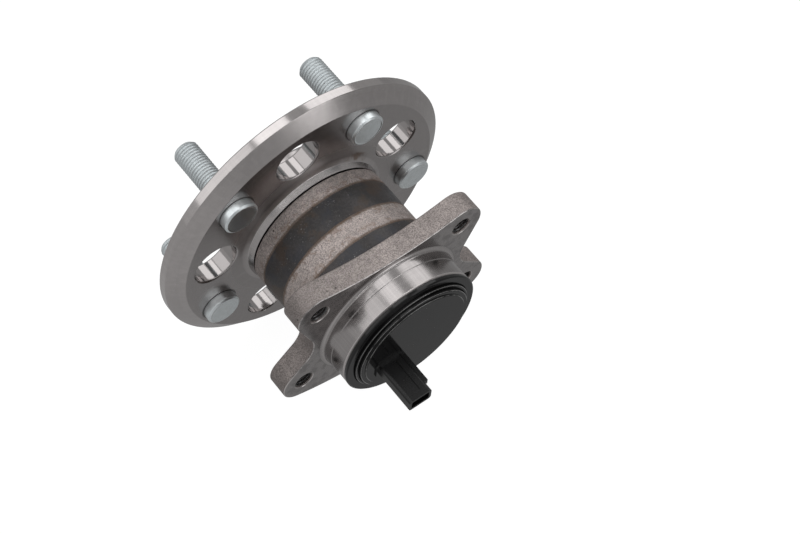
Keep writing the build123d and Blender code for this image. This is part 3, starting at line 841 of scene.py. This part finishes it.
def moulded_nylon(name, colour, low, high, grain, edges=(), dull_past=None):
    """Moulded plastic with smudges and dust, and with painted highlight lines along edges and a dull end
    where they are given.
    """
    finish = Finish(name, ior=1.39)
    handling = finish.group("handling")
    tone = coats(
        blend_colours(noise(finish.point, 120.0, 3.0), tint(colour, 0.75), tint(colour, 1.35)),
        (times(handling["Dust"], 0.35), (0.32, 0.31, 0.30)))
    rough = plus(blend_values(handling["Smudge"], low, high), times(handling["Dust"], 0.3))
    if edges:
        radius, along, _, _ = finish.place()
        # Painted highlights: thin pale lines along the given step edges, broken into patches.
        line = below(nearest(radius, along, edges), 0.29, 0.05)
        patchy_glint = ramp(noise(finish.point, 130.0, 3.0, 0.6), 0.36, 0.50)
        tone = blend_colours(times(line, patchy_glint), tone, PALE_SCRATCH_AND_GLINT)
        rough = plus(rough, times(below(along, dull_past, 0.2), 0.16))
    finish.feed("Base Color", tone)
    finish.feed("Roughness", rough)
    finish.bump(noise(finish.point, 1700.0, 3.0, 0.6), grain, 0.5)
    return finish.material


def ground_steel(name, tone, rough_low, rough_high):
    """Ground and polished steel for balls, races, the nut and pressed sheet."""
    finish = Finish(name, metallic=1.0)
    marks = finish.group("turned", Spacing=5200.0, Waver=1.4)
    handling = finish.group("handling")
    base = tint((0.62, 0.62, 0.63), tone)
    finish.feed("Base Color", coats(
        blend_colours(marks["Fine"], tint(base, 0.88), tint(base, 1.12)),
        (times(handling["Scratch"], 0.20), (0.82, 0.81, 0.80))))
    finish.feed("Roughness", blend_values(handling["Smudge"], rough_low, rough_high))
    finish.bump(marks["Fine"], 0.01 * MM, 0.3)
    return finish.material


def seal_rubber():
    """Matt rubber with a fine talc bloom."""
    rubber = bpy.context.scene.hub_colours.rubber_black
    finish = Finish("Seal rubber", ior=1.48)
    bloom = noise(finish.point, 240.0, 4.0, 0.6)
    finish.feed("Base Color", blend_colours(ramp(bloom, 0.45, 0.75), rubber, (0.07, 0.068, 0.066)))
    finish.feed("Roughness", blend_values(bloom, 0.55, 0.78))
    finish.bump(noise(finish.point, 2300.0, 3.0, 0.6), 0.03 * MM, 0.5)
    return finish.material


def tinned_brass():
    """Terminal brass with a thin tin wash."""
    brass = bpy.context.scene.hub_colours.brass
    finish = Finish("Terminal brass", metallic=1.0)
    wash = noise(finish.point, 500.0, 3.0, 0.6)
    finish.feed("Base Color", blend_colours(ramp(wash, 0.4, 0.7), brass, (0.66, 0.65, 0.60)))
    finish.feed("Roughness", blend_values(wash, 0.24, 0.38))
    finish.bump(noise(finish.point, 3600.0), 0.01 * MM, 0.3)
    return finish.material


# Operators, one for each piece or group of like pieces

class HUB_UNIT_OT_wheel_studs(bpy.types.Operator):
    """Wheel studs with knurl, dished head and a rolled thread."""

    bl_idname = "hub_unit.wheel_studs"
    bl_label = "Wheel studs"

    def execute(self, context):
        sizes = context.scene.hub_sizes
        head_r = STUD_HEAD_R * MM
        head_end = STUD_LOW.y
        under_head = UNDER_FLANGE * MM
        disc_r = head_r - 0.9 * MM
        rim_r = disc_r - 0.35 * MM
        dish_r = disc_r - 0.75 * MM
        dish_end = head_end + sizes.head_dish
        side_end = head_end + 0.7 * MM
        head = spin_piece("stud_head", [
            (0, dish_end), (dish_r, dish_end), (rim_r, head_end), (disc_r, head_end), (head_r, side_end),
            (head_r, under_head), (0, under_head)], steps=72)
        soften(head, 0.2 * MM, angle=20, segments=3)

        knurl_r = 6.3 * MM
        knurl_end = under_head - 0.2 * MM
        clear_selection()
        bpy.ops.mesh.primitive_cylinder_add(
            vertices=sizes.knurl_teeth * 2, radius=knurl_r, depth=-knurl_end,
            location=(0, knurl_end / 2, 0), rotation=(math.pi / 2, 0, 0))
        knurl = context.object
        knurl.name = "stud_knurl"
        bpy.ops.object.transform_apply(location=True, rotation=True, scale=True)
        edit_all(knurl)
        bpy.ops.mesh.select_all(action="DESELECT")
        bpy.ops.object.mode_set(mode="OBJECT")
        for vertex in knurl.data.vertices:
            turn = math.atan2(vertex.co.z, vertex.co.x) / math.tau * sizes.knurl_teeth * 2
            vertex.select = round(turn) % 2 == 0
        bpy.ops.object.mode_set(mode="EDIT")
        share = (knurl_r - sizes.knurl_depth) / knurl_r
        bpy.ops.transform.resize(value=(share, 1, share))
        bpy.ops.object.mode_set(mode="OBJECT")

        crest = 6.0 * MM
        tip = STUD_HIGH.y
        thread = wind_thread("stud_thread", crest, crest - sizes.thread_depth, sizes.thread_pitch,
                             start=-0.6 * MM, end=tip, steps=40)
        select_open_edges()
        bpy.ops.mesh.fill_holes(sides=0)
        close_up()
        clear_r = crest + 0.5 * MM
        clear_end = -1.0 * MM
        taper_start = tip - 2.1 * MM
        tip_r = crest - 1.2 * MM
        envelope = spin_piece("stud_envelope", [
            (0, clear_end), (clear_r, clear_end), (clear_r, taper_start), (tip_r, tip), (0, tip)], steps=64)
        apply_modifier(thread, "BOOLEAN", operation="INTERSECT", object=envelope, solver="EXACT")
        bpy.data.objects.remove(envelope)
        shade_by_angle(thread, THREAD_EDGE)

        for piece in (head, knurl, thread):
            piece.select_set(True)
        context.view_layer.objects.active = head
        bpy.ops.object.join()
        master = context.object
        if len(master.data.polygons) < 500:
            raise RuntimeError("the stud thread was not cut")
        zinc = zinc_plate()
        for number, (node, middle) in enumerate(zip(STUD_NODES, STUD_MIDDLES)):
            stud = place_copy(master, f"stud_{number + 1}", middle.x, middle.z, 67 * number)
            dress(stud, zinc, "stud_zinc", "hub", node)
        bpy.data.objects.remove(master)
        return {"FINISHED"}


class HUB_UNIT_OT_hub_spindle(bpy.types.Operator):
    """Hub forging with broken edges and a turned finish."""

    bl_idname = "hub_unit.hub_spindle"
    bl_label = "Hub"

    def execute(self, context):
        hub = copy_node("hub_spindle", "hub_forging")
        soften_but_mouth(hub, context.scene.hub_sizes.machined_round)
        dress(hub, turned_steel(), "hub_steel", "hub", "hub_spindle")
        return {"FINISHED"}


class HUB_UNIT_OT_outer_ring(bpy.types.Operator):
    """Outer ring with forged skin, hardened bands and turned seats."""

    bl_idname = "hub_unit.outer_ring"
    bl_label = "Outer ring"

    def execute(self, context):
        ring = copy_node("outer_ring", "ring_forging")
        soften_but_mouth(ring, context.scene.hub_sizes.machined_round)
        dress(ring, ring_steel(), "ring_steel", "carrier_side", "outer_ring")
        return {"FINISHED"}


class HUB_UNIT_OT_carrier_threads(bpy.types.Operator):
    """Thread turns in the four holes of the carrier flange."""

    bl_idname = "hub_unit.carrier_threads"
    bl_label = "Carrier threads"

    def execute(self, context):
        sizes = context.scene.hub_sizes
        wall = 4.45 * MM
        sunk = 1.06  # the open edges end inside the wall, this many times as far from the hole's axis
        thread = wind_thread("carrier_thread", wall - sizes.carrier_depth, wall, sizes.carrier_pitch,
                             start=-66.2 * MM, end=-56.3 * MM, steps=36)
        select_open_edges()
        bpy.ops.mesh.extrude_edges_move()
        bpy.ops.transform.resize(value=(sunk, 1.0, sunk), center_override=(0, 0, 0))
        close_up()
        shade_by_angle(thread, THREAD_EDGE)
        # The thread turns get a very dark steel tone: painted shade inside the tapped holes.
        steel = ground_steel("Tapped steel", 0.17, 0.16, 0.26)
        for number, (x, z) in enumerate(CARRIER_HOLES):
            piece = place_copy(thread, f"carrier_thread_{number + 1}", x * MM, z * MM, 90 * number)
            dress(piece, steel, "ring_steel", "carrier_side")
        bpy.data.objects.remove(thread)
        return {"FINISHED"}


class HUB_UNIT_OT_sensor_cap(bpy.types.Operator):
    """Moulded sensor cap and connector, with its blades."""

    bl_idname = "hub_unit.sensor_cap"
    bl_label = "Sensor cap"

    def execute(self, context):
        cap = copy_node("sensor_cap", "cap_moulding")
        soften(cap, context.scene.hub_sizes.moulded_round, angle=25)
        black = context.scene.hub_colours.cap_black
        nylon = moulded_nylon("Cap nylon", black, 0.08, 0.15, 0.01 * MM, CAP_EDGES, CONNECTOR_START)
        dress(cap, nylon, "cap_plastic", "carrier_side", "sensor_cap")
        finish_nodes(tinned_brass(), "terminal_1", "terminal_2")
        resin = moulded_nylon("Sensor resin", (0.03, 0.03, 0.035), 0.35, 0.5, 0.02 * MM)
        finish_nodes(resin, "sensor_element")
        return {"FINISHED"}


class HUB_UNIT_OT_bearing(bpy.types.Operator):
    """Balls, cages, inner ring and nut."""

    bl_idname = "hub_unit.bearing"
    bl_label = "Bearing"

    def execute(self, context):
        race = ground_steel("Ground race steel", 1.0, 0.07, 0.16)
        cage = moulded_nylon("Cage nylon", context.scene.hub_colours.cage_amber, 0.34, 0.5, 0.03 * MM)
        finish_nodes(race, "inner_ring", "outboard_balls", "inboard_balls")
        finish_nodes(cage, "outboard_cage", "inboard_cage")
        finish_nodes(ground_steel("Nut steel", 0.75, 0.28, 0.42), "hub_nut")
        return {"FINISHED"}


class HUB_UNIT_OT_seals(bpy.types.Operator):
    """Seal case, lips and slinger, encoder ring, cap sleeve and ring seal."""

    bl_idname = "hub_unit.seals"
    bl_label = "Seals and encoder"

    def execute(self, context):
        sheet = ground_steel("Pressed sheet steel", 0.9, 0.22, 0.36)
        finish_nodes(sheet, "seal_case", "seal_slinger", "encoder_carrier", "cap_sleeve")
        finish_nodes(seal_rubber(), "seal_lip", "cap_ring_seal", "encoder_magnet")
        return {"FINISHED"}


class HUB_UNIT_OT_studio(bpy.types.Operator):
    """Pale floor, softboxes, pale surroundings and the camera."""

    bl_idname = "hub_unit.studio"
    bl_label = "Studio"

    def execute(self, context):
        studio = context.scene.hub_studio
        scene = context.scene
        clear_selection()
        floor_gap = 0.2 * MM
        bpy.ops.mesh.primitive_plane_add(size=8.0, location=(0, 0, HUB_LOW.z - floor_gap))
        floor = context.object
        floor.name = "studio_floor"
        floor.data.materials.append(self.floor_material(studio))
        self.softbox("left_softbox", -47, 0.38, (1.06, 1.2), studio.left_glow)
        self.softbox("centre_softbox", -4.5, 0.38, (0.51, 1.2), studio.centre_glow)
        self.softbox("right_softbox", 42, 0.38, (0.72, 1.2), studio.right_glow)
        self.softbox("front_softbox", 38, -0.85, (0.8, 0.5), studio.front_glow)
        strip = self.softbox("edge_strip", -4, -0.42, (2.2, 0.09), studio.edge_glow)
        strip.visible_diffuse = False
        self.surroundings(scene, studio)
        self.camera(scene, studio)
        scene.view_settings.view_transform = "Standard"
        return {"FINISHED"}

    @staticmethod
    def floor_material(studio):
        """Pale paper that stays pale behind the object and greyer in its reflections, where its glow holds a
        painted shadow beside the object and a painted paler pool on the left.
        """
        material = bpy.data.materials.new("Studio paper")
        material.use_nodes = True
        nodes = material.node_tree.nodes
        point = nodes.new("ShaderNodeTexCoord").outputs["Object"]
        rays = nodes.new("ShaderNodeLightPath").outputs
        paper = nodes["Principled BSDF"]
        paper.inputs["Roughness"].default_value = 0.9
        paper.inputs["Specular IOR Level"].default_value = 0.0
        grain = noise(point, 300.0, 3.0, 0.6)
        put(paper.inputs["Base Color"], blend_colours(grain, (0.60, 0.60, 0.60), (0.63, 0.63, 0.63)))
        glow = nodes.new("ShaderNodeEmission")
        glow.inputs["Strength"].default_value = studio.floor_shade
        seen = mix_shaders(0.72, paper, glow)

        away = nodes.new("ShaderNodeVectorMath")
        away.operation = "LENGTH"
        put(away.inputs[0], point)
        across = add_node("ShaderNodeSeparateXYZ", Vector=point).outputs[0]
        # In reflections the floor's glow is painted: dimmer beside the object as a painted shadow round it,
        # paler towards the left as a painted pool of light.
        painted_echo_glow = blend_values(ramp(away.outputs["Value"], *FLOOR_FADE), studio.floor_near, studio.floor_far)
        painted_echo_glow = blend_values(ramp(across, *LEFT_FADE), painted_echo_glow, studio.floor_left)
        even_glow = nodes.new("ShaderNodeEmission")
        put(even_glow.inputs["Strength"], times(painted_echo_glow, less(1.0, times(rays["Is Diffuse Ray"], 0.7))))
        plain = nodes.new("ShaderNodeBsdfDiffuse")
        put(plain.inputs["Color"], [studio.floor_echo] * 3)
        echo = mix_shaders(0.92, plain, even_glow)
        surface = mix_shaders(rays["Is Camera Ray"], echo, seen)
        put(nodes["Material Output"].inputs["Surface"], surface.outputs[0])
        return material

    @staticmethod
    def softbox(name, lean, along, size, glow):
        """A softbox that leans from overhead by some degrees to the right and stands some way along Y."""
        reach = 1.25
        across = math.sqrt(1 - along * along)
        away = Vector((across * math.sin(math.radians(lean)), along, across * math.cos(math.radians(lean))))
        side = Vector((0, 1, 0)).cross(away).normalized()
        light = bpy.data.lights.new(name, "AREA")
        light.shape = "RECTANGLE"
        light.size, light.size_y = size
        light.energy = glow * math.pi * size[0] * size[1]
        lamp = bpy.data.objects.new(name, light)
        lamp.visible_camera = False
        bpy.context.scene.collection.objects.link(lamp)
        turn = Matrix((side, away.cross(side), away)).transposed().to_4x4()
        lamp.matrix_world = Matrix.Translation(away * reach) @ turn
        return lamp

    @staticmethod
    def surroundings(scene, studio):
        """A room that is paler on the left than on the right, and white where the camera sees it."""
        world = bpy.data.worlds.new("Studio room")
        world.use_nodes = True
        scene.world = world
        nodes = world.node_tree.nodes
        direction = nodes.new("ShaderNodeTexCoord").outputs["Generated"]
        x, y, _ = add_node("ShaderNodeSeparateXYZ", Vector=direction).outputs
        rays = nodes.new("ShaderNodeLightPath").outputs
        put(nodes["Background"].inputs["Color"], coats(
            blend_colours(ramp(x, -0.8, 0.9), [studio.room_left] * 3, [studio.room_right] * 3),
            (times(ramp(y, 0.2, -0.7), 0.30), (0, 0, 0)),
            (rays["Is Diffuse Ray"], [studio.room_fill] * 3),
            (rays["Is Camera Ray"], (1, 1, 1))))
        nodes["Background"].inputs["Strength"].default_value = 1.0

    @staticmethod
    def camera(scene, studio):
        """Camera at the photograph's place, aim and roll."""
        data = bpy.data.cameras.new("studio_camera")
        data.sensor_width = 36.0
        data.lens = studio.camera_lens
        data.clip_start = 0.01
        camera = bpy.data.objects.new("studio_camera", data)
        scene.collection.objects.link(camera)
        place = Vector(studio.camera_place)
        look = (Vector(studio.camera_aim) - place).to_track_quat("-Z", "Y").to_matrix().to_4x4()
        camera.matrix_world = Matrix.Translation(place) @ look @ Matrix.Rotation(studio.camera_roll, 4, "Z")
        scene.camera = camera


class HUB_UNIT_PT_sidebar(bpy.types.Panel):
    """Lists the steps that build the hub unit."""

    bl_label = "Wheel hub unit"
    bl_idname = "HUB_UNIT_PT_sidebar"
    bl_space_type = "VIEW_3D"
    bl_region_type = "UI"
    bl_category = "Wheel Hub"

    def draw(self, context):
        for step in STEPS:
            self.layout.operator(step.bl_idname)


STEPS = (
    HUB_UNIT_OT_studio,
    HUB_UNIT_OT_wheel_studs,
    HUB_UNIT_OT_hub_spindle,
    HUB_UNIT_OT_outer_ring,
    HUB_UNIT_OT_carrier_threads,
    HUB_UNIT_OT_sensor_cap,
    HUB_UNIT_OT_bearing,
    HUB_UNIT_OT_seals,
)
CLASSES = (HubSizes, HubColours, HubStudio, *STEPS, HUB_UNIT_PT_sidebar)


def register():
    for item in CLASSES:
        bpy.utils.register_class(item)
    bpy.types.Scene.hub_sizes = PointerProperty(type=HubSizes)
    bpy.types.Scene.hub_colours = PointerProperty(type=HubColours)
    bpy.types.Scene.hub_studio = PointerProperty(type=HubStudio)


def unregister():
    del bpy.types.Scene.hub_studio
    del bpy.types.Scene.hub_colours
    del bpy.types.Scene.hub_sizes
    for item in reversed(CLASSES):
        bpy.utils.unregister_class(item)


def main():
    register()
    bpy.ops.hub_unit.studio()
    bpy.ops.hub_unit.wheel_studs()
    bpy.ops.hub_unit.hub_spindle()
    bpy.ops.hub_unit.outer_ring()
    bpy.ops.hub_unit.carrier_threads()
    bpy.ops.hub_unit.sensor_cap()
    bpy.ops.hub_unit.bearing()
    bpy.ops.hub_unit.seals()


if __name__ == "__main__":
    main()
